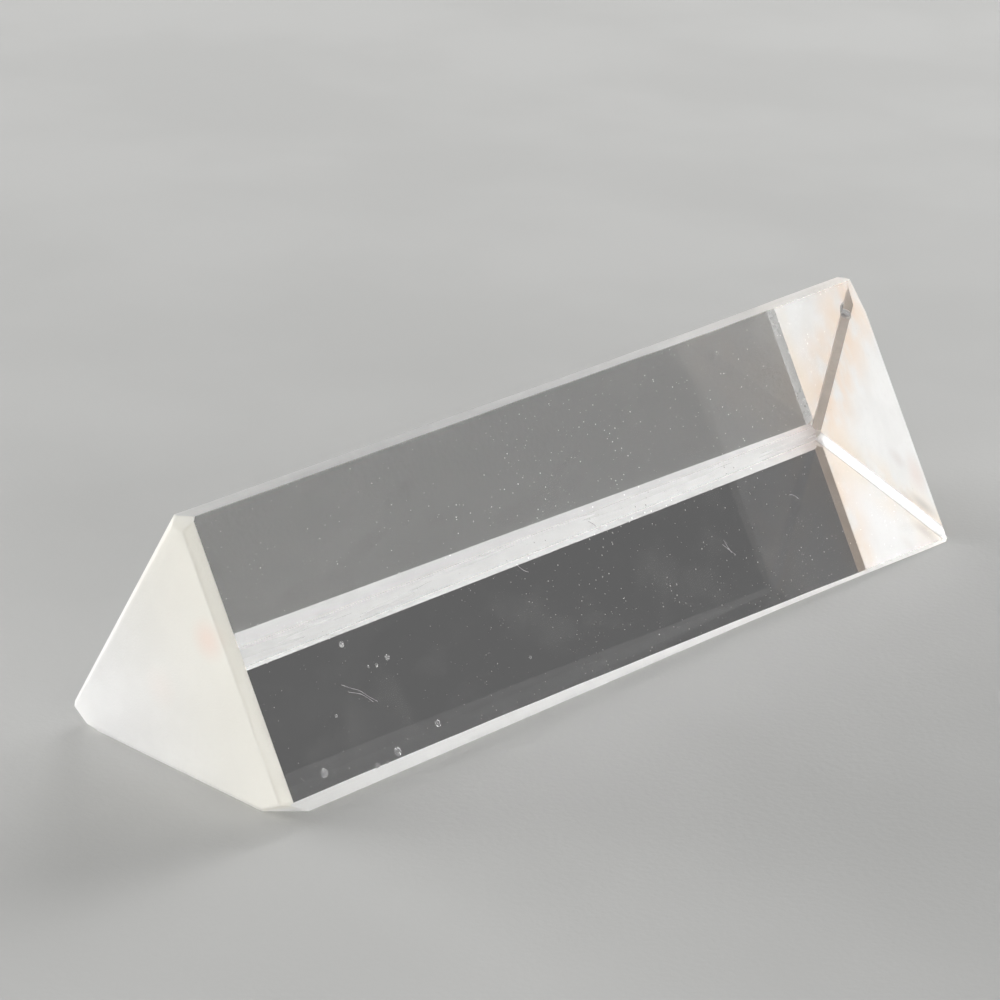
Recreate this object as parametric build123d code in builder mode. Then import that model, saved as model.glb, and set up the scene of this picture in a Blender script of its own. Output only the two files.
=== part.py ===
"""Equilateral glass prism: three polished faces, two ground ends and hand-ground edges.

Frame: +X runs along the prism, +Y from its front bottom edge to its back bottom edge, +Z up.
The origin is the centre of the polished face that the prism rests on. Lengths are in millimetres.
"""
from build123d import *

import os
from math import radians, tan

# --- The blank -----------------------------------------------------------------------------
length = 80.0          # from ground end to ground end
side = 25.0            # width of the resting face, from sharp edge to sharp edge
corner_angle = 60.0    # angle that the front face and the back face make with the resting face

# --- Long edges, ground by hand against a flat lap -------------------------------------------
# Each edge loses a thin strip. A leg is the width that the strip takes off one face, and the
# hand's pressure makes it differ from the left end to the right end.
top_front_leg_left = 1.75    # top edge, off the front face
top_front_leg_right = 0.75
top_back_leg_left = 2.3      # top edge, off the back face
top_back_leg_right = 0.2
front_leg_left = 2.3         # front edge, off the front face
front_leg_right = 0.4
rest_leg_left = 2.05         # front edge, off the resting face
rest_leg_right = 0.35
back_leg_left = 1.2          # back edge, off the back face
back_leg_right = 1.3
foot_leg_left = 1.8          # back edge, off the resting face
foot_leg_right = 1.05

# --- Ends ------------------------------------------------------------------------------------
end_bevel = 0.7              # 45 degree bevel round each ground end
corner_bevel = 0.5           # 45 degree touch where a long edge meets an end
light_corner_bevel = 0.15    # the same at the right front corner, which is hardly touched

# --- Corners that are ground further back ------------------------------------------------------
# Each is cut by a plane that meets three edges of the corner at these distances.
foot_nick_along = 3.1        # left front foot: along the prism
foot_nick_across = 2.8       # towards the back, under the resting face
foot_nick_up = 1.3           # up the front face
heel_nick_along = 6.5        # left back foot: along the prism, from the sharp corner
heel_nick_across = 3.9       # towards the front, under the resting face
heel_nick_up = 2.2           # up the back face
top_nick_along = 1.45        # right top corner: along the prism
top_nick_down_front = 7.6    # down the front face
top_nick_down_back = 4.4     # down the back face
top_touch_along = 3.1        # a second, shallow pass over the same corner
top_touch_down = 1.0

# --- Chip on the right end, on the edge that it shares with the back face ----------------------
chip_radius = 1.0            # a shell-shaped scoop, cut as part of a ball
chip_depth = 0.75            # how far the ball reaches in past the sharp edge
chip_from_top = 6.1          # along that edge, from the sharp top corner

# Sharp corners of the section, as (0, Y, Z).
height = side / 2 * tan(radians(corner_angle))
top_corner = Vector(0, 0, height)
front_corner = Vector(0, -side / 2, 0)
back_corner = Vector(0, side / 2, 0)

# Directions along the three faces, and from one end to the other.
rightward = Vector(1, 0, 0)
down_front = (front_corner - top_corner).normalized()
down_back = (back_corner - top_corner).normalized()
backward = (back_corner - front_corner).normalized()


def flat(corners):
    """The (Y, Z) pairs of some corners of the section."""
    return [(corner.Y, corner.Z) for corner in corners]


def edge_wedge(corner, along_first, along_second, first_legs, second_legs):
    """The sliver that the lap takes off one long edge, as a triangular bar.

    Its two inner corners lie on the two faces, and run straight from the left end's legs to the
    right end's legs. Its outer corner stands clear of the edge, and the bar overruns both ends.
    """
    overrun = end_bevel
    outer_corner = corner - (along_first + along_second) * side / 5
    with BuildPart() as wedge:
        for share in (-overrun / length, 1 + overrun / length):
            on_first = corner + along_first * (first_legs[0] + (first_legs[1] - first_legs[0]) * share)
            on_second = corner + along_second * (second_legs[0] + (second_legs[1] - second_legs[0]) * share)
            with BuildSketch(Plane.YZ.offset((share - 0.5) * length)):
                Polygon(*flat([outer_corner, on_first, on_second]), align=None)
        loft(ruled=True)
    return wedge.part


def cut_plane(first, second, third, inside):
    """The plane through three points, facing away from a point inside the glass."""
    facing = (second - first).cross(third - first)
    if facing.dot(first - inside) < 0:
        facing = facing * -1
    return Plane(origin=first, z_dir=facing)


def corner_plane(corner, along_first, along_second, first_leg, second_leg, bevel, end):
    """A 45 degree plane across the end of a ground long edge. end is -1 on the left, 1 on the right."""
    on_first = corner + along_first * first_leg
    on_second = corner + along_second * second_leg
    outward = (along_first + along_second).normalized() * -1
    strip_middle = (on_first + on_second) / 2
    return Plane(origin=strip_middle + rightward * end * (length / 2 - bevel), z_dir=outward + rightward * end)


top_front_legs = (top_front_leg_left, top_front_leg_right)
top_back_legs = (top_back_leg_left, top_back_leg_right)
front_legs = (front_leg_left, front_leg_right)
rest_legs = (rest_leg_left, rest_leg_right)
back_legs = (back_leg_left, back_leg_right)
foot_legs = (foot_leg_left, foot_leg_right)
long_edges = [
    (top_corner, down_front, down_back, top_front_legs, top_back_legs),
    (front_corner, down_front * -1, backward, front_legs, rest_legs),
    (back_corner, down_back * -1, backward * -1, back_legs, foot_legs),
]
corner_bevels = [(corner_bevel, corner_bevel), (corner_bevel, light_corner_bevel), (corner_bevel, corner_bevel)]
wedges = [edge_wedge(*edge) for edge in long_edges]

middle = (top_corner + front_corner + back_corner) / 3
left_foot = front_corner - rightward * length / 2 + backward * rest_leg_left
left_heel = back_corner - rightward * length / 2
right_top = top_corner + rightward * length / 2
foot_nick = cut_plane(
    left_foot + rightward * foot_nick_along,
    left_foot + backward * foot_nick_across,
    left_foot - down_front * foot_nick_up,
    middle,
)
heel_nick = cut_plane(
    left_heel + rightward * heel_nick_along,
    left_heel - backward * heel_nick_across,
    left_heel - down_back * heel_nick_up,
    middle,
)
top_nick = cut_plane(
    right_top - rightward * top_nick_along,
    right_top + down_front * top_nick_down_front,
    right_top + down_back * top_nick_down_back,
    middle,
)
top_touch = cut_plane(
    right_top - rightward * top_touch_along,
    right_top + down_front * top_touch_down,
    right_top + down_back * top_touch_down,
    middle,
)

# The ball that scoops the chip is centred outside the edge, half way between the two faces.
back_normal = down_back.cross(rightward).normalized()
chip_outward = (back_normal + rightward).normalized()
chip_point = right_top + down_back * chip_from_top
chip_centre = chip_point + chip_outward * (chip_radius - chip_depth)

with BuildPart() as prism:
    # The blank: its sharp section, drawn out both ways from the middle, with bevelled ends.
    with BuildSketch(Plane.YZ):
        Polygon(*flat([top_corner, front_corner, back_corner]), align=None)
    extrude(amount=length / 2, both=True)
    chamfer(prism.faces().filter_by(Axis.X).edges(), length=end_bevel)

    # The long edges, each ground to a strip that widens or narrows along the prism.
    for wedge in wedges:
        add(wedge, mode=Mode.SUBTRACT)

    # The six corners where a strip meets an end.
    for (corner, along_first, along_second, first_legs, second_legs), bevels in zip(long_edges, corner_bevels):
        left = corner_plane(corner, along_first, along_second, first_legs[0], second_legs[0], bevels[0], -1)
        right = corner_plane(corner, along_first, along_second, first_legs[1], second_legs[1], bevels[1], 1)
        split(bisect_by=left, keep=Keep.BOTTOM)
        split(bisect_by=right, keep=Keep.BOTTOM)

    # The three corners that are ground further back, one of them in two passes.
    for cut in (foot_nick, heel_nick, top_nick, top_touch):
        split(bisect_by=cut, keep=Keep.BOTTOM)

    # The chip.
    with Locations(chip_centre):
        Sphere(radius=chip_radius, mode=Mode.SUBTRACT)

prism.part.label = "prism"
os.makedirs("parts", exist_ok=True)
export_step(prism.part, "parts/prism.step")

size = prism.part.bounding_box().size
print(f"prism: {size.X:.2f} x {size.Y:.2f} x {size.Z:.2f} mm, {prism.part.volume / 1000:.2f} cm3 of glass")
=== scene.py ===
# %% [markdown]
# # A triangular glass prism
# This lesson makes one clear glass bar: three polished faces, two ends ground to a white frost, and long
# edges that were touched by hand against a flat lap so that nobody is cut by them.
# The model was first built as an exact solid. It is loaded here as a fixed frame, in metres, with X along
# the bar and Z up, and everything made below stands where that solid stands.

# %% Load the exact solid
import math

import bmesh
import bpy
from mathutils import Matrix, Vector, noise


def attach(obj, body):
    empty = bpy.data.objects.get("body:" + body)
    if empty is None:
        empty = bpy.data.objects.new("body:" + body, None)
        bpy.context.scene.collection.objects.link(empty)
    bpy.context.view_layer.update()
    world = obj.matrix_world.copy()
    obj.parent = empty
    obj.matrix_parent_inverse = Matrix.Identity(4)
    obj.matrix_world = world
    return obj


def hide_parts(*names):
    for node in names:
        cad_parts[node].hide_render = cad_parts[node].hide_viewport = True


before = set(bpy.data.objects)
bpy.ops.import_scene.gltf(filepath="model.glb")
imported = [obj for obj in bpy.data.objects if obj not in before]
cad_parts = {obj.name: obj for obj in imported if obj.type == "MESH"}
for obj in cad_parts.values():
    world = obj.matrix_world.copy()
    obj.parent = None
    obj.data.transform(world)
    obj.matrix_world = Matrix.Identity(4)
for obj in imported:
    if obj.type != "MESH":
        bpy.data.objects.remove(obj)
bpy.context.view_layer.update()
MM = 0.001

# %% [markdown]
# ## The camera
# A long lens looks down on the bar from its left front, so that one ground end is seen directly and the
# other one through the glass. The camera could be aimed with a tracking constraint, but three angles
# and one distance say the same thing in numbers that can be read and changed.

# %% Aim the camera
azimuth = math.radians(-48.8553)
elevation = math.radians(21.7263)
roll = math.radians(2.6595)
distance = 251.61 * MM
lens = 112.11
sensor = 36.0
looked_at = Vector((0, 4.1667, 8.3333)) * MM
off_centre = Vector((8.459, 12.487)) / 1000

reach_out = math.cos(elevation)
look = Vector((-math.sin(azimuth) * reach_out, math.cos(azimuth) * reach_out, -math.sin(elevation)))
level_right = look.cross(Vector((0, 0, 1))).normalized()
level_up = level_right.cross(look)
right = math.cos(roll) * level_right + math.sin(roll) * level_up
up = math.cos(roll) * level_up - math.sin(roll) * level_right
towards = (look + (right * off_centre.x - up * off_centre.y) * sensor / lens).normalized()

camera = bpy.data.objects.new("camera", bpy.data.cameras.new("camera"))
camera.data.lens = lens
camera.data.sensor_width = sensor
camera.data.clip_start = 0.01
camera.data.clip_end = 20
pose = Matrix((right, up, -look)).transposed().to_4x4()
pose.translation = looked_at - towards * distance
camera.matrix_world = pose
bpy.context.scene.collection.objects.link(camera)
bpy.context.scene.camera = camera
print("camera stands at, mm:", [round(value / MM, 1) for value in pose.translation])

# %% [markdown]
# ## The blank and its ground edges
# A prism is sawn from a slab, ground and polished on three faces, and its edges are then dulled by
# hand. The hand presses harder at one end than at the other, so each strip narrows or widens along the
# bar, and its border wanders a little. A Bevel modifier would give even strips. So the section is drawn
# at many stations instead: every point slides along its polished face, which keeps the faces perfectly
# flat.

# %% Sizes of the blank
length = 80.0
side = 25.0
corner_angle = math.radians(60)
end_bevel = 0.7
corner_bevel = 0.5
height = side / 2 * math.tan(corner_angle)

top_corner = Vector((0, 0, height))
front_corner = Vector((0, -side / 2, 0))
back_corner = Vector((0, side / 2, 0))
rightward = Vector((1, 0, 0))
down_front = (front_corner - top_corner).normalized()
down_back = (back_corner - top_corner).normalized()
backward = (back_corner - front_corner).normalized()
print("sharp section stands", round(height, 2), "mm high")

# %% Ground strips, as the width taken off each face at five stations from left to right
strips = {
    "top": (
        (top_corner, down_front, (1.76, 1.53, 1.28, 1.04, 0.62)),
        (top_corner, down_back, (2.22, 1.79, 1.41, 0.81, 0.05)),
    ),
    "front": (
        (front_corner, backward, (1.98, 1.64, 1.33, 0.88, 0.05)),
        (front_corner, -down_front, (2.17, 1.87, 1.43, 0.89, 0.33)),
    ),
    "back": (
        (back_corner, -down_back, (1.2, 1.22, 1.25, 1.28, 1.3)),
        (back_corner, -backward, (1.8, 1.62, 1.45, 1.25, 1.05)),
    ),
}
sways = {"top": 0.03, "front": 0.03, "back": 0.012}
sways_per_mm = 0.16
narrowest = 0.04
stations = 160


def width_at(widths, share):
    """The width at a share of the length, on a smooth curve through the five stations."""
    place = min(max(share, 0.0), 1.0) * (len(widths) - 1)
    first = min(int(place), len(widths) - 2)
    t = place - first
    last = len(widths) - 1
    before, here, after, beyond = (widths[min(max(first + step, 0), last)] for step in (-1, 0, 1, 2))
    bend = 2 * before - 5 * here + 4 * after - beyond
    twist = -before + 3 * here - 3 * after + beyond
    return here + 0.5 * t * ((after - before) + t * (bend + t * twist))


def wander(border, along, amount):
    """How far a hand-ground border strays here, in mm. Each border, by its number, strays in its own way."""
    return amount * noise.noise(Vector((along * sways_per_mm, border * 7.3, 0.5)))


def section(share, along):
    """The six corners of the section at one station, going round it once."""
    points = []
    for name, borders in strips.items():
        for corner, way, widths in borders:
            stray = wander(len(points), along, sways[name])
            leg = max(narrowest, width_at(widths, share) + stray)
            points.append(corner + way * leg + rightward * along)
    return points


print("corners in one section:", len(section(0.5, 0)))

# %% [markdown]
# The section has six corners, two to each ground edge. The long spaces between them become the polished
# faces and the short spaces become the ground strips. A polished face could be one large polygon, but
# along a curved border such a polygon splits into needles, and a needle's direction is too vague for
# clear glass: it glints. So each face is a row of planks laid across the bar, half a millimetre wide
# and perfectly level.

# %% Loft the blank
finishes = range(10)
polished, front_edge, top_edge, back_edge, ground_end = finishes[:5]
soft_shaded_bevel, brown_shaded_bevel, grey_shaded_bevel, foot_bevel, broken = finishes[5:]


def ring(share, along):
    """The section's corners in order: along the foot, up the back and down the front."""
    top_front, top_back, front_foot, front_front, back_back, back_foot = section(share, along)
    return [front_foot, back_foot, back_back, top_back, top_front, front_front]


def loft_blank():
    """The bar with wandering ground strips and square ends, in mm."""
    body = bmesh.new()
    rings = []
    for step in range(stations + 1):
        share = step / stations
        rings.append([body.verts.new(point) for point in ring(share, (share - 0.5) * length)])
    for start in range(6):
        after = (start + 1) % 6
        low = [one[start] for one in rings]
        high = [one[after] for one in rings]
        finish = {1: back_edge, 3: top_edge, 5: front_edge}.get(start, polished)
        for step in range(stations):
            if finish == polished:
                plank = (low[step], low[step + 1], high[step + 1], high[step])
                body.faces.new(plank).material_index = polished
                continue
            body.faces.new((low[step], low[step + 1], high[step + 1])).material_index = finish
            body.faces.new((low[step], high[step + 1], high[step])).material_index = finish
    body.faces.new(rings[0]).material_index = ground_end
    body.faces.new(rings[-1]).material_index = ground_end
    bmesh.ops.recalc_face_normals(body, faces=body.faces[:])
    return body


body = loft_blank()
print("lofted faces:", len(body.faces))

# %% [markdown]
# ## Grinding the ends back
# Each end has a 45 degree bevel all round and a small touch at its corners, and three corners are
# ground further back, one of them in two passes. On the bench these are flat passes over a lap, so here
# each is a flat cut: Bisect slices the mesh with a plane and throws the outer side away, and the open
# loop that it leaves is filled with one face.

# %% Cut by a plane
same_place = 0.00001


def lap_away(body, point, outward, finish):
    """Grinds off all that lies beyond a plane, and gives the new face its finish."""
    whole = body.verts[:] + body.edges[:] + body.faces[:]
    cut = bmesh.ops.bisect_plane(
        body, geom=whole, dist=same_place, plane_co=point, plane_no=outward, clear_outer=True
    )
    rim = [item for item in cut["geom_cut"] if isinstance(item, bmesh.types.BMEdge)]
    rim = [edge for edge in rim if len(edge.link_faces) < 2]
    if not rim:
        return 0
    made = bmesh.ops.edgenet_fill(body, edges=rim)["faces"]
    for face in made:
        face.material_index = finish
        face.normal_update()
        if face.normal.dot(outward) < 0:
            face.normal_flip()
    return len(made)


# %% The bevels round both ends
lean = math.pi / 2 - corner_angle
face_normals = {
    "foot": Vector((0, 0, -1)),
    "back": Vector((0, math.cos(lean), math.sin(lean))),
    "front": Vector((0, -math.cos(lean), math.sin(lean))),
}
face_edges = {
    "foot": (front_corner, back_corner),
    "back": (top_corner, back_corner),
    "front": (top_corner, front_corner),
}
bevel_widths = {(-1, "back"): (0.85, 0.45), (1, "front"): (0.77, 0.5)}
# The left end's front bevel and the right end's back and front bevels carry painted shade in their colours.
bevel_finishes = {
    (-1, "front"): soft_shaded_bevel,
    (1, "back"): brown_shaded_bevel,
    (1, "front"): grey_shaded_bevel,
    (1, "foot"): foot_bevel,
}
bevels = 0
for end in (-1, 1):
    for name, normal in face_normals.items():
        start, stop = face_edges[name]
        widths = bevel_widths.get((end, name), (end_bevel, end_bevel))
        on_start = start + rightward * end * (length / 2 - widths[0])
        on_stop = stop + rightward * end * (length / 2 - widths[1])
        outward = (on_stop - on_start).cross(rightward * end - normal).normalized()
        if outward.dot(normal) < 0:
            outward = -outward
        finish = bevel_finishes.get((end, name), ground_end)
        bevels += lap_away(body, on_start, outward, finish)
print("bevels cut:", bevels)

# %% The corners
corner_bevels = {("top", -1): 0.75, ("front", 1): 0.15}
corners_cut = 0
for name, ((corner, first, first_widths), (corner, second, second_widths)) in strips.items():
    for end, which in ((-1, 0), (1, -1)):
        middle_of_strip = corner + (first * first_widths[which] + second * second_widths[which]) / 2
        reach_in = corner_bevels.get((name, end), corner_bevel)
        on_strip = middle_of_strip + rightward * end * (length / 2 - reach_in)
        outward = -(first + second).normalized() + rightward * end
        # The back corner of the right end gets the brown bevel's painted shade.
        finish = brown_shaded_bevel if (name, end) == ("back", 1) else ground_end
        corners_cut += lap_away(body, on_strip, outward.normalized(), finish)


def lap_through(body, first, second, third, inside, finish):
    """Grinds a corner off by the plane through three points, away from a point inside the glass."""
    outward = (second - first).cross(third - first).normalized()
    if outward.dot(first - inside) < 0:
        outward = -outward
    return lap_away(body, first, outward, finish)


# Each grind is a corner and three steps from it, in mm, to the points that the lap's plane goes through.
inside = (top_corner + front_corner + back_corner) / 3
foot_setback = 2.0
touch_setback = 1.3
left_foot = front_corner - rightward * length / 2 + backward * foot_setback
left_back = back_corner - rightward * length / 2
right_top = top_corner + rightward * length / 2
grinds = (
    (left_foot, (rightward * 3.1, backward * 2.8, -down_front * 1.3)),
    (left_back, (rightward * 6.5, -backward * 3.9, -down_back * 2.2)),
    (right_top, (-rightward * 1.45, down_front * 7.6, down_back * 4.4)),
    (right_top - rightward * touch_setback, (-rightward * 1.8, down_front * 0.6, down_back * 0.6)),
)
for corner, steps in grinds:
    corners_cut += lap_through(body, *(corner + step for step in steps), inside, ground_end)
print("corners cut:", corners_cut, "faces now:", len(body.faces))

# %% [markdown]
# ## Chips
# Where a finished edge was knocked, a shell of glass flew off. The largest chip is on the right end,
# and two small ones bite into the border of the front strip. Each is a scoop, so a slightly lumpy ball
# is taken away with a Boolean modifier. The ball brings its own finish, which stays on the scooped
# surface.

# %% Scoop the chips
def plain_object(name, body):
    """Puts a bmesh into an object just as it is."""
    mesh = bpy.data.meshes.new(name)
    body.to_mesh(mesh)
    body.free()
    thing = bpy.data.objects.new(name, mesh)
    bpy.context.scene.collection.objects.link(thing)
    return thing


lumpiness = 0.1


def chip_balls(chips):
    """Lumpy balls, one for each chip: its centre and radius in mm."""
    balls = bmesh.new()
    for number, (centre, radius) in enumerate(chips):
        made = bmesh.ops.create_icosphere(balls, subdivisions=3, radius=radius)["verts"]
        for vert in made:
            lump = 1 + lumpiness * noise.noise(vert.co / radius * 1.7 + Vector((number * 5.0, 0.3, 0.7)))
            vert.co = centre + vert.co * lump
    for face in balls.faces:
        face.material_index = broken
    return balls


chip_from_top = 6.1
chip_outward = (face_normals["back"] + rightward).normalized()
out_of_front = face_normals["front"]
front_border = front_corner - down_front * 2.0
chips = (
    (right_top + down_back * chip_from_top + chip_outward * 0.25, 1.0),
    (front_border - rightward * 30.9 + out_of_front * 0.22 - down_front * 0.15, 0.34),
    (front_border - rightward * 29.9 + out_of_front * 0.16 - down_front * 0.05, 0.22),
)
blank = plain_object("blank", body)
cutter = plain_object("cutter", chip_balls(chips))
for finish in finishes:
    blank.data.materials.append(None)
    cutter.data.materials.append(None)
scoop = blank.modifiers.new("scoop", "BOOLEAN")
scoop.operation = "DIFFERENCE"
scoop.solver = "EXACT"
scoop.material_mode = "INDEX"
scoop.object = cutter
chipped = bpy.data.meshes.new_from_object(blank.evaluated_get(bpy.context.evaluated_depsgraph_get()))
body = bmesh.new()
body.from_mesh(chipped)
for thing in (blank, cutter):
    bpy.data.objects.remove(thing)
open_edges = sum(1 for edge in body.edges if len(edge.link_faces) != 2)
scooped = sum(1 for face in body.faces if face.material_index == broken)
print("scooped faces:", scooped, "open edges:", open_edges, "volume, mm3:", round(body.calc_volume(), 1))

# %% [markdown]
# ## From bmesh to an object
# The shaping is done, so the mesh becomes an object in metres. The faces stay flat shaded: a polished
# optical face is flat to a fraction of a hair, and smooth shading would bend what is seen through it.

# %% Make the object
def new_mesh_object(name, body, materials):
    """Turns a bmesh in mm into an object in metres with one slot for each material."""
    bmesh.ops.scale(body, vec=(MM, MM, MM), verts=body.verts[:])
    thing = plain_object(name, body)
    for material in materials:
        thing.data.materials.append(material)
    return thing


# %% [markdown]
# ## Patterns
# Dirt and wear follow places: stains creep in from an edge, dust gathers in clouds. So the materials
# read where a point is on the prism, in millimetres, and build masks from that, each a number from 0 to
# 1.

# %% Small helpers for materials
def start_material(name):
    """A material with an empty node tree and its output."""
    material = bpy.data.materials.new(name)
    material.use_nodes = True
    tree = material.node_tree
    tree.nodes.clear()
    return material, tree, tree.nodes.new("ShaderNodeOutputMaterial")


def add_node(tree, kind, **values):
    """A node with its sockets or settings filled in by name."""
    node = tree.nodes.new(kind)
    for name, value in values.items():
        title = name.replace("_", " ")
        if title in node.inputs:
            node.inputs[title].default_value = value
        else:
            setattr(node, name, value)
    return node


def feed(tree, socket, value):
    """Gives a socket a number, a colour or another node's output."""
    if isinstance(value, bpy.types.NodeSocket):
        tree.links.new(value, socket)
    elif isinstance(value, tuple) and len(value) == 3 and socket.type == "RGBA":
        socket.default_value = (*value, 1)
    else:
        socket.default_value = value


def place_in_mm(tree):
    """Where a point is on the prism, in millimetres."""
    place = tree.nodes.new("ShaderNodeTexCoord")
    grow = add_node(tree, "ShaderNodeVectorMath", operation="SCALE")
    grow.inputs["Scale"].default_value = 1 / MM
    tree.links.new(place.outputs["Object"], grow.inputs[0])
    return grow.outputs[0]


def spread(tree, value, low, high, to_low=0.0, to_high=1.0):
    """Stretches the range low to high over 0 to 1, softly at both ends."""
    node = add_node(tree, "ShaderNodeMapRange", interpolation_type="SMOOTHSTEP")
    ends = {"Value": value, "From Min": low, "From Max": high, "To Min": to_low, "To Max": to_high}
    for title, number in ends.items():
        feed(tree, node.inputs[title], number)
    return node.outputs["Result"]


def arithmetic(tree, operation, first, second):
    """One sum on two numbers."""
    node = add_node(tree, "ShaderNodeMath", operation=operation)
    feed(tree, node.inputs[0], first)
    feed(tree, node.inputs[1], second)
    return node.outputs[0]


# %% Masks
def clouds(tree, place, size, low=0.35, high=0.65, stretch=(1, 1, 1), detail=3.0):
    """Clouds of about this size in mm. A stretch below 1 makes them longer that way."""
    longer = add_node(tree, "ShaderNodeVectorMath", operation="MULTIPLY")
    tree.links.new(place, longer.inputs[0])
    longer.inputs[1].default_value = stretch
    texture = add_node(tree, "ShaderNodeTexNoise", Scale=1 / size, Detail=detail)
    tree.links.new(longer.outputs[0], texture.inputs["Vector"])
    return spread(tree, texture.outputs[0], low, high)


def near_face(tree, place, normal, point, reach):
    """1 on a face of the prism, fading to 0 this many mm inwards."""
    depth = add_node(tree, "ShaderNodeVectorMath", operation="DOT_PRODUCT")
    tree.links.new(place, depth.inputs[0])
    depth.inputs[1].default_value = normal
    surface = normal.dot(point)
    return spread(tree, depth.outputs["Value"], surface - reach, surface)


def near_spot(tree, place, centre, radius, stretch=(1, 1, 1)):
    """1 at a point, fading to 0 this many mm away. A stretch below 1 makes the spot longer that way."""
    offset = add_node(tree, "ShaderNodeVectorMath", operation="SUBTRACT")
    tree.links.new(place, offset.inputs[0])
    offset.inputs[1].default_value = centre
    longer = add_node(tree, "ShaderNodeVectorMath", operation="MULTIPLY")
    tree.links.new(offset.outputs[0], longer.inputs[0])
    longer.inputs[1].default_value = stretch
    away = add_node(tree, "ShaderNodeVectorMath", operation="LENGTH")
    tree.links.new(longer.outputs[0], away.inputs[0])
    return spread(tree, away.outputs["Value"], radius, 0.0)


def blend_colour(tree, share, below, above):
    """Below where the share is 0 and above where it is 1."""
    node = add_node(tree, "ShaderNodeMix", data_type="RGBA")
    feed(tree, node.inputs[0], share)
    feed(tree, node.inputs[6], below)
    feed(tree, node.inputs[7], above)
    return node.outputs[2]


# %% [markdown]
# ## Polished glass
# Polished glass only bends and mirrors light, so a Principled shader with full transmission does it
# all, with the index of common crown glass. A real bar is never quite clean. Handling leaves faint
# smudges, where the surface is a trace rougher, and dust settles on it in specks of a tenth of a
# millimetre. The specks are the round cells of a Voronoi texture, kept only where a cell is lucky and
# the dust is thick.

# %% Dust
speck_cells_per_mm = 2.6
dustiest = Vector((4, -8, 5))


def dust(tree, place):
    """1 on a speck of dust and 0 between the specks."""
    thick = near_spot(tree, place, dustiest, 34.0, (0.8, 1, 1))
    thick = arithmetic(tree, "MULTIPLY", thick, clouds(tree, place, 5.0, 0.3, 0.6))
    cells = add_node(tree, "ShaderNodeTexVoronoi", Scale=speck_cells_per_mm)
    tree.links.new(place, cells.inputs["Vector"])
    luck = add_node(tree, "ShaderNodeSeparateColor")
    tree.links.new(cells.outputs["Color"], luck.inputs[0])
    size = spread(tree, luck.outputs[0], 0.3, 1.0, -0.02, 0.15)
    size = arithmetic(tree, "ADD", size, spread(tree, thick, 0.0, 1.0, -0.06, 0.03))
    return arithmetic(tree, "LESS_THAN", cells.outputs["Distance"], size)


# %% Polished glass
crown_glass = 1.517
speck_cover = 0.4
smudge_cover = 0.025
smudge_roughness = 0.012

polished_glass, tree, output = start_material("polished_glass")
place = place_in_mm(tree)
smudges = clouds(tree, place, 7.0, 0.42, 0.75, detail=4.0)
clear = add_node(tree, "ShaderNodeBsdfPrincipled", IOR=crown_glass)
clear.inputs["Base Color"].default_value = (1, 1, 1, 1)
clear.inputs["Transmission Weight"].default_value = 1.0
tree.links.new(spread(tree, smudges, 0.0, 1.0, 0.0, smudge_roughness), clear.inputs["Roughness"])

film = spread(tree, smudges, 0.3, 1.0, 0.0, smudge_cover)
specks = arithmetic(tree, "MULTIPLY", dust(tree, place), speck_cover)
dusty = arithmetic(tree, "MAXIMUM", specks, film)
dust_skin = add_node(tree, "ShaderNodeBsdfPrincipled", Roughness=0.9)
dust_skin.inputs["Base Color"].default_value = (0.75, 0.74, 0.71, 1)
dust_skin.inputs["Specular IOR Level"].default_value = 0.0
surface = add_node(tree, "ShaderNodeMixShader")
tree.links.new(dusty, surface.inputs[0])
tree.links.new(clear.outputs[0], surface.inputs[1])
tree.links.new(dust_skin.outputs[0], surface.inputs[2])
tree.links.new(surface.outputs[0], output.inputs["Surface"])

# %% [markdown]
# ## Ground glass
# Ground glass is the same glass with a skin of tiny facets, which throws light every way, so it looks
# white from outside and also from inside. Rough glass alone needs many samples and still looks grey. So
# each finish mixes it with a white skin that half reflects and half lets light through: a matte
# Principled and a Translucent shader, half and half. Every finish says what share of it is rough glass.
# On top come what the hand and the years left: a grain from the grit, streaks along the strips where
# the bar was drawn over the lap, cloudy tone, and cream and pink stains. Some colours are painted light
# and shade instead: the top strip and three of the end bevels get greyer or browner colours than their
# frost, as painted shade, and the right end gets peach margins of painted light and grey spots, partly
# painted shade. Grinding also leaves most creases a little round, and where a finish asks for it a Bevel
# node shades it so without any more faces.

# %% Ground glass
blotch_size = 3.5
mottle_size = 0.5
wear_size = 1.5
grain_size = 0.16
grain_depth = 0.02 * MM


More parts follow.
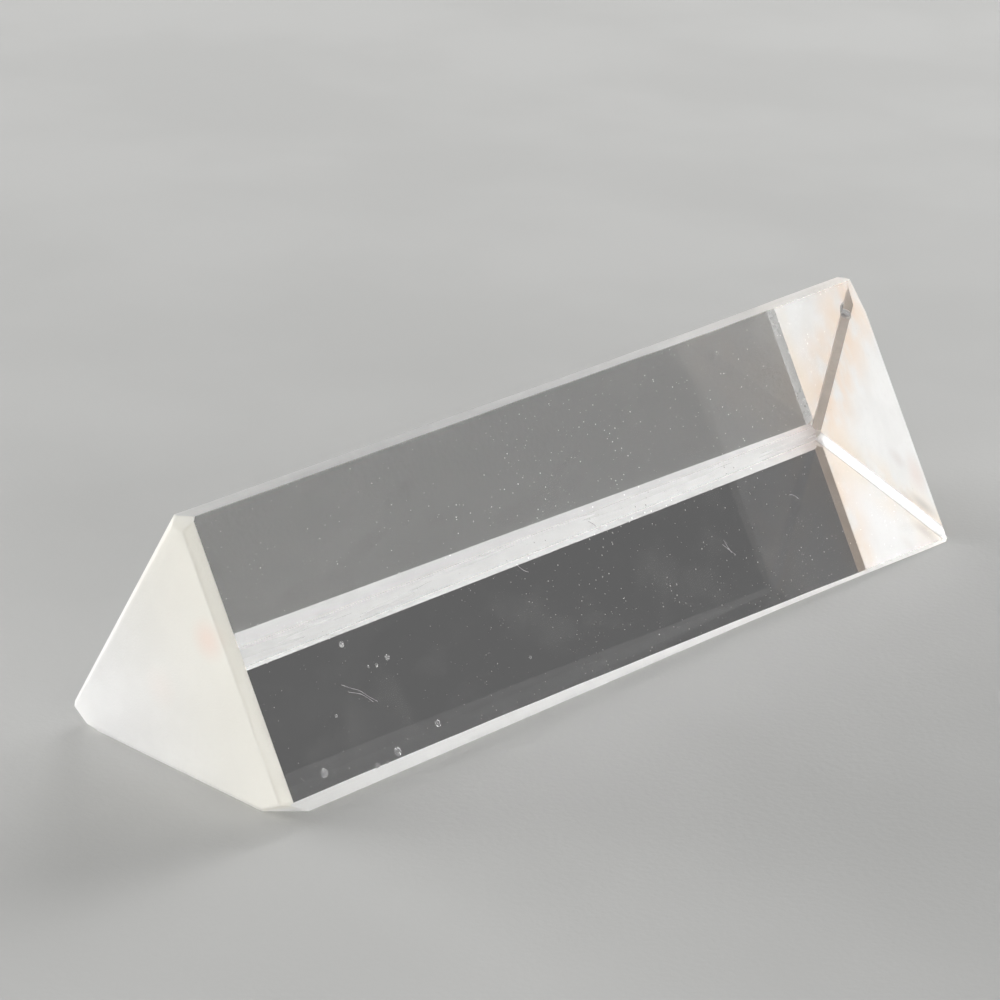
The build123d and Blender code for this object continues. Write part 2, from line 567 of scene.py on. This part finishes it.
def frost(
    name, colour, share_of_glass, roughness, tints=None, streaks=(1, 1, 1), cloudiness=0.05, rounding=0.4
):
    """A ground skin on glass: partly rough glass, partly a white skin that light goes into and through."""
    material, tree, output = start_material(name)
    place = place_in_mm(tree)
    dull = tuple(part * (1 - cloudiness) for part in colour)
    tint = blend_colour(tree, clouds(tree, place, blotch_size, stretch=streaks), dull, colour)
    tint = blend_colour(tree, clouds(tree, place, mottle_size, 0.5, 0.8, streaks, 2.0), tint, dull)
    for tint_colour, mask in tints(tree, place) if tints else ():
        tint = blend_colour(tree, mask, tint, tint_colour)
    grain = clouds(tree, place, grain_size, 0.2, 0.8, streaks, 2.0)
    bump = add_node(tree, "ShaderNodeBump", Strength=0.35, Distance=grain_depth)
    if rounding:
        rounded = add_node(tree, "ShaderNodeBevel", samples=4, Radius=rounding * MM)
        tree.links.new(rounded.outputs[0], bump.inputs["Normal"])
    tree.links.new(grain, bump.inputs["Height"])
    skin = add_node(tree, "ShaderNodeBsdfPrincipled", Roughness=0.6)
    skin.inputs["Specular IOR Level"].default_value = 0.0
    through = tree.nodes.new("ShaderNodeBsdfTranslucent")
    both = tree.nodes.new("ShaderNodeMixShader")
    both.inputs[0].default_value = 0.5
    rough = add_node(tree, "ShaderNodeBsdfPrincipled", IOR=crown_glass)
    rough.inputs["Base Color"].default_value = (1, 1, 1, 1)
    rough.inputs["Transmission Weight"].default_value = 1.0
    worn = clouds(tree, place, wear_size, stretch=streaks)
    worn = spread(tree, worn, 0.0, 1.0, roughness * 0.8, roughness * 1.2)
    tree.links.new(worn, rough.inputs["Roughness"])
    blend = tree.nodes.new("ShaderNodeMixShader")
    blend.inputs[0].default_value = share_of_glass
    tree.links.new(tint, skin.inputs["Base Color"])
    tree.links.new(tint, through.inputs["Color"])
    for shader in (skin, through, rough):
        tree.links.new(bump.outputs[0], shader.inputs["Normal"])
    tree.links.new(skin.outputs[0], both.inputs[1])
    tree.links.new(through.outputs[0], both.inputs[2])
    tree.links.new(both.outputs[0], blend.inputs[1])
    tree.links.new(rough.outputs[0], blend.inputs[2])
    tree.links.new(blend.outputs[0], output.inputs["Surface"])
    return material


# %% Tints, painted light and painted shade on the ends
right_end = rightward * length / 2
left_end = -right_end


def share_of(tree, strength, *masks):
    """Several masks at once, at this strength."""
    for mask in masks:
        strength = arithmetic(tree, "MULTIPLY", strength, mask)
    return strength


def end_tints_and_painted_light(tree, place):
    """Peach margins of painted light and grey spots, partly painted shade, on the right end, and a cream
    tone and pink spots on the left.
    """
    uneven = clouds(tree, place, 4.0, 0.25, 0.6)
    on_right = near_face(tree, place, rightward, right_end, 2.0)
    on_left = near_face(tree, place, -rightward, left_end, 2.0)
    by_back = near_face(tree, place, face_normals["back"], back_corner, 7.0)
    by_foot = near_face(tree, place, face_normals["foot"], back_corner, 4.0)
    by_front = near_face(tree, place, face_normals["front"], front_corner, 17.0)
    tints = [
        # The peach margins by the back and the foot of the right end are painted light, a tint for coloured
        # light inside the glass.
        ((1.0, 0.78, 0.6), share_of(tree, 0.8, on_right, uneven, by_back)),
        ((1.0, 0.84, 0.66), share_of(tree, 0.7, on_right, uneven, by_foot)),
    ]
    # The first two grey spots paint the shade beside a bright streak; the last two are grey spots near its
    # lower end.
    right_spots = (
        ((0.88, 0.76, 0.7), 0.7, (0, -7.0, 4.2), 2.6, (1, 1, 1)),
        ((0.82, 0.77, 0.74), 0.6, (0, -3.6, 4.3), 2.2, (1, 1, 2.0)),
        ((0.6, 0.56, 0.52), 0.7, (0, -7.6, 1.4), 3.2, (1, 0.9, 3.6)),
        ((0.75, 0.7, 0.66), 0.5, (0, -4.4, 1.0), 1.6, (1, 1, 3.0)),
    )
    for colour, strength, centre, radius, stretch in right_spots:
        spot = near_spot(tree, place, right_end + Vector(centre), radius, stretch)
        tints.append((colour, share_of(tree, strength, spot)))
    tints.append(((0.95, 0.925, 0.835), share_of(tree, 0.9, on_left, by_front)))
    left_spots = (
        ((1.0, 0.82, 0.72), 0.8, (0, -3.3, 11.8), 2.1),
        ((0.99, 0.9, 0.84), 0.4, (0, 1.5, 6.5), 2.2),
    )
    for colour, strength, centre, radius in left_spots:
        spot = near_spot(tree, place, left_end + Vector(centre), radius)
        tints.append((colour, share_of(tree, strength, spot)))
    return tints


def back_edge_stains(tree, place):
    """The back strip turns a dusky pink where it nears the right end, and brown at its very corner."""
    corner = back_corner + right_end
    return (
        ((0.8, 0.74, 0.73), near_spot(tree, place, corner, 9.0)),
        ((0.42, 0.36, 0.33), near_spot(tree, place, corner, 3.2)),
    )


# %% The ground finishes
along_bar = (0.04, 1.0, 1.0)
strip_finish = {"streaks": along_bar, "rounding": 0}
dull_bevel = {"cloudiness": 0.15, "rounding": 0.2}
front_edge_glass = frost("front_edge_glass", (0.93, 0.93, 0.915), 0.4, 0.45, **strip_finish)
# The top strip's greyer colour is painted shade, for the lesser light on the top edge.
shaded_top_edge_glass = frost("shaded_top_edge_glass", (0.8, 0.8, 0.785), 0.5, 0.45, **strip_finish)
back_edge_glass = frost(
    "back_edge_glass", (0.995, 0.995, 0.985), 0.33, 0.32, back_edge_stains, cloudiness=0.02, **strip_finish
)
ground_end_glass = frost("ground_end_glass", (0.985, 0.98, 0.965), 0.2, 0.5, end_tints_and_painted_light)
# The soft bevel's grey-beige colour is painted shade, the darkening of the left end's rounded front edge.
soft_shaded_bevel_glass = frost(
    "soft_shaded_bevel_glass", (0.87, 0.85, 0.8), 0.08, 0.5, end_tints_and_painted_light, cloudiness=0.08, rounding=0.6
)
# The brown bevel's colour is painted shade: it stands for the shaded floor seen through the right end's back
# bevel.
brown_shaded_bevel_glass = frost("brown_shaded_bevel_glass", (0.58, 0.46, 0.36), 0.6, 0.35, **dull_bevel)
# The grey bevel's tan colour is painted shade too, on the right end's front bevel.
grey_shaded_bevel_glass = frost("grey_shaded_bevel_glass", (0.76, 0.72, 0.66), 0.6, 0.35, **dull_bevel)
foot_bevel_glass = frost("foot_bevel_glass", (0.95, 0.945, 0.93), 0.75, 0.25, rounding=0.2)
broken_glass = frost("broken_glass", (0.3, 0.27, 0.26), 0.7, 0.1, cloudiness=0.3)

prism_glass = new_mesh_object(
    "prism_glass",
    body,
    [
        polished_glass,
        front_edge_glass,
        shaded_top_edge_glass,
        back_edge_glass,
        ground_end_glass,
        soft_shaded_bevel_glass,
        brown_shaded_bevel_glass,
        grey_shaded_bevel_glass,
        foot_bevel_glass,
        broken_glass,
    ],
)
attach(prism_glass, "root")
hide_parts("prism")
print("prism faces:", len(prism_glass.data.polygons))

# %% [markdown]
# ## Lint and dried drops
# A few things lie on the front face: curled fibres from a cloth, and drops that dried to pale rings.
# They have a thickness, so they are small pieces. A fibre is a curve with a round bevel, laid in the
# plane of the face, and a drop is a low dome.

# %% The plane of the front face
def on_front(along, height_up, above=0.0):
    """A point on the front face, in metres: mm along the bar, and mm up the face from the sharp edge."""
    return (front_corner - down_front * height_up + rightward * along + out_of_front * above) * MM


lint_white, tree, output = start_material("lint_white")
lint_skin = add_node(tree, "ShaderNodeBsdfPrincipled", Roughness=0.8)
place = place_in_mm(tree)
lint_tint = blend_colour(tree, clouds(tree, place, 0.6), (0.3, 0.28, 0.3), (0.5, 0.48, 0.49))
tree.links.new(lint_tint, lint_skin.inputs["Base Color"])
tree.links.new(lint_skin.outputs[0], output.inputs["Surface"])

# %% Fibres
fibre_radius = 0.02
fibre_height = 0.035
fibres = (
    ((-31.6, 8.5), (-30.9, 8.0), (-30.2, 7.7), (-29.6, 7.0), (-28.9, 6.4)),
    ((-31.2, 7.8), (-30.5, 7.55), (-29.9, 7.2), (-29.3, 6.5)),
    ((-11.1, 11.9), (-10.8, 11.3), (-10.2, 11.05)),
    ((11.6, 7.3), (12.0, 6.9), (12.7, 6.1)),
    ((11.9, 7.6), (12.1, 7.0), (12.3, 6.4)),
    ((21.5, 9.0), (22.1, 8.9), (22.4, 8.4)),
    ((-2.2, 13.0), (-1.6, 12.6), (-1.4, 12.0)),
)
lines = bpy.data.curves.new("lint_fibres", "CURVE")
lines.dimensions = "3D"
lines.bevel_depth = fibre_radius * MM
lines.bevel_resolution = 2
lines.resolution_u = 8
for fibre in fibres:
    line = lines.splines.new("NURBS")
    line.points.add(len(fibre) - 1)
    for number, (along, height_up) in enumerate(fibre):
        line.points[number].co = (*on_front(along, height_up, fibre_height), 1)
    line.order_u = 3
    line.use_endpoint_u = True
lines.materials.append(lint_white)
lint_fibres = bpy.data.objects.new("lint_fibres", lines)
bpy.context.scene.collection.objects.link(lint_fibres)
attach(lint_fibres, "root")

# %% Dried drops
drops = (
    (-35.8, 3.2, 0.34),
    (-28.65, 2.5, 0.36),
    (-24.1, 3.2, 0.28),
    (-30.3, 11.2, 0.24),
    (-26.6, 9.1, 0.22),
    (-27.8, 8.85, 0.16),
    (-28.6, 9.0, 0.12),
    (-33.0, 6.6, 0.14),
    (-13.0, 5.0, 0.14),
)
just_clear = 0.004
domes = bmesh.new()
flatten = Matrix.Diagonal((1, 1, 0.22, 1))
lay = out_of_front.to_track_quat("Z", "Y").to_matrix().to_4x4()
for along, height_up, radius in drops:
    pose = Matrix.Translation(on_front(along, height_up) / MM) @ lay @ flatten
    bmesh.ops.create_uvsphere(domes, u_segments=24, v_segments=12, radius=radius, matrix=pose)
inner = [vert for vert in domes.verts if (vert.co - front_corner).dot(out_of_front) < -0.001]
bmesh.ops.delete(domes, geom=inner, context="VERTS")
for vert in domes.verts:
    vert.co += out_of_front * just_clear
drop_film = frost("drop_film", (0.7, 0.69, 0.67), 0.85, 0.2, cloudiness=0.3)
dried_drops = new_mesh_object("dried_drops", domes, [drop_film])
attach(dried_drops, "root")
print("fibres:", len(fibres), "drops:", len(drops))

# %% [markdown]
# ## Floor and light
# The bar lies on a pale matte floor in a dim grey room. Glass shows its surroundings more than itself,
# so each lamp is a wide softbox with one job: the left and right ones light the two ground ends, the
# back and front ones light the ground strips, the small one at the back left brightens the right end's
# foot bevel, and the small high and low ones are seen by the bar's inner reflections. The lamps are
# hidden from the camera, and from here none shows as a bright shape in a polished face. From other
# sides some do: seen from the front right the back left one fills half of the front face with white,
# and from low in front the back one does much the same. Beyond the lamps' reach the floor would fall
# into darkness, so there it turns to the grey of the room.

# %% Floor
floor_reach = 3
floor_signs = ((-1, -1), (1, -1), (1, 1), (-1, 1))
floor_corners = [(across * floor_reach, deep * floor_reach, 0) for across, deep in floor_signs]
floor_mesh = bpy.data.meshes.new("floor")
floor_mesh.from_pydata(floor_corners, [], [(0, 1, 2, 3)])
floor = bpy.data.objects.new("floor", floor_mesh)
floor.location.z = -0.02 * MM
bpy.context.scene.collection.objects.link(floor)
floor_paint, tree, output = start_material("floor_paint")
place = place_in_mm(tree)
matte = add_node(tree, "ShaderNodeBsdfPrincipled", Roughness=0.9)
floor_tint = blend_colour(tree, clouds(tree, place, 40.0), (0.45, 0.45, 0.44), (0.475, 0.475, 0.465))
tree.links.new(floor_tint, matte.inputs["Base Color"])
tooth = add_node(tree, "ShaderNodeBump", Strength=0.2, Distance=0.05 * MM)
tree.links.new(clouds(tree, place, 0.5, 0.2, 0.8), tooth.inputs["Height"])
tree.links.new(tooth.outputs[0], matte.inputs["Normal"])
haze = add_node(tree, "ShaderNodeEmission")
haze.inputs["Color"].default_value = (0.5, 0.5, 0.5, 1)
rays = tree.nodes.new("ShaderNodeLightPath")
seen = rays.outputs["Is Camera Ray"]
for kind in ("Is Glossy Ray", "Is Transmission Ray"):
    seen = arithmetic(tree, "MAXIMUM", seen, rays.outputs[kind])
near = near_spot(tree, place, Vector((0, 0, 0)), 1400.0)
far_off = arithmetic(tree, "MULTIPLY", seen, spread(tree, near, 0.6, 0.05))
floor_surface = tree.nodes.new("ShaderNodeMixShader")
tree.links.new(far_off, floor_surface.inputs[0])
tree.links.new(matte.outputs[0], floor_surface.inputs[1])
tree.links.new(haze.outputs[0], floor_surface.inputs[2])
tree.links.new(floor_surface.outputs[0], output.inputs["Surface"])
floor_mesh.materials.append(floor_paint)

# %% Room
world = bpy.data.worlds.new("room")
bpy.context.scene.world = world
world.use_nodes = True
tree = world.node_tree
direction = tree.nodes.new("ShaderNodeTexCoord")
split = tree.nodes.new("ShaderNodeSeparateXYZ")
tree.links.new(direction.outputs["Generated"], split.inputs[0])
room_grey = spread(tree, split.outputs["Z"], 0.08, 0.30, 0.5, 0.12)
tree.links.new(room_grey, tree.nodes["Background"].inputs["Color"])


# %% Softboxes
aim_height = 10 * MM


def softbox(name, bearing, angle_up, reach, width, depth, power):
    """A soft lamp aimed at the prism. Bearing 0 is along +X and 90 along +Y."""
    data = bpy.data.lights.new(name, "AREA")
    data.shape = "RECTANGLE"
    data.size = width
    data.size_y = depth
    data.energy = power
    lamp = bpy.data.objects.new(name, data)
    flat = math.cos(math.radians(angle_up))
    way = Vector((flat, 0, math.sin(math.radians(angle_up))))
    way.rotate(Matrix.Rotation(math.radians(bearing), 3, "Z"))
    lamp.location = way * reach + Vector((0, 0, aim_height))
    lamp.rotation_euler = way.to_track_quat("Z", "Y").to_euler()
    bpy.context.scene.collection.objects.link(lamp)
    lamp.visible_camera = False


# Each line is a bearing and an angle up in degrees, a distance, a width and a depth in metres, and watts.
softboxes = {
    "overhead_softbox": (60, 80, 0.95, 0.9, 0.9, 0.4),
    "left_softbox": (200, 20, 1.0, 0.7, 0.5, 3.4),
    "back_left_softbox": (138, 24, 1.0, 0.45, 0.3, 1.7),
    "right_softbox": (-3, 15, 1.0, 0.6, 0.45, 6.3),
    "high_right_softbox": (22, 39, 1.0, 0.36, 0.3, 2.8),
    "low_front_softbox": (-47, 3.2, 1.0, 0.5, 0.1, 4.5),
    "back_softbox": (112, 12, 1.0, 0.9, 0.36, 12.0),
    "front_softbox": (252, 16, 1.05, 0.8, 0.4, 3.7),
}
for name, numbers in softboxes.items():
    softbox(name, *numbers)
print("softboxes:", len(softboxes))

bpy.context.scene.view_settings.view_transform = "Standard"
